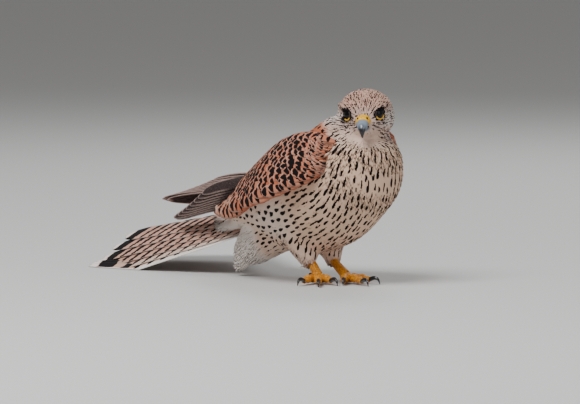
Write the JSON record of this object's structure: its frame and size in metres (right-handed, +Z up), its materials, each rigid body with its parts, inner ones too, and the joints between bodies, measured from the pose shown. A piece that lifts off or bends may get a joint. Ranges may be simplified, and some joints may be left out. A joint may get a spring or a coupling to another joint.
{
  "type": "common kestrel",
  "caption": "Life-size still model of a common kestrel standing with folded wings, a fanned tail and its head turned to one side",
  "frame": {"origin": "middle of the bounding box in plan, at the floor under the feet", "axes": "+X towards the breast, +Y to the bird's left, +Z up"},
  "size_m": [0.2808, 0.132, 0.1251],
  "materials": {
    "plumage_rufous": "matte feathers, rufous with black bars",
    "plumage_buff": "matte feathers, cream and buff with dark streaks",
    "plumage_white": "soft matte white down",
    "plumage_crown": "matte feathers, pinkish buff with fine dark streaks",
    "bare_skin": "satin yellow skin, scaly on the toes",
    "horn": "smooth blue-grey horn with a black tip",
    "claw_horn": "smooth black horn",
    "eye": "wet gloss, nearly black brown"
  },
  "bodies": {
    "root": {"torso": "plumage_buff", "neck": "plumage_buff", "head": "plumage_crown", "cere": "bare_skin", "bill_upper": "horn", "bill_lower": "horn", "eye_left": "eye", "eyelid_left": "bare_skin", "eye_right": "eye", "eyelid_right": "bare_skin", "wing_right": "plumage_rufous", "wing_left": "plumage_rufous", "tail": "plumage_rufous", "vent": "plumage_white", "thigh_left": "plumage_buff", "tarsus_left": "bare_skin", "foot_left": "bare_skin", "claw_left_hind": "claw_horn", "claw_left_inner": "claw_horn", "claw_left_middle": "claw_horn", "claw_left_outer": "claw_horn", "thigh_right": "plumage_buff", "tarsus_right": "bare_skin", "foot_right": "bare_skin", "claw_right_hind": "claw_horn", "claw_right_inner": "claw_horn", "claw_right_middle": "claw_horn", "claw_right_outer": "claw_horn"}
  },
  "joints": []
}
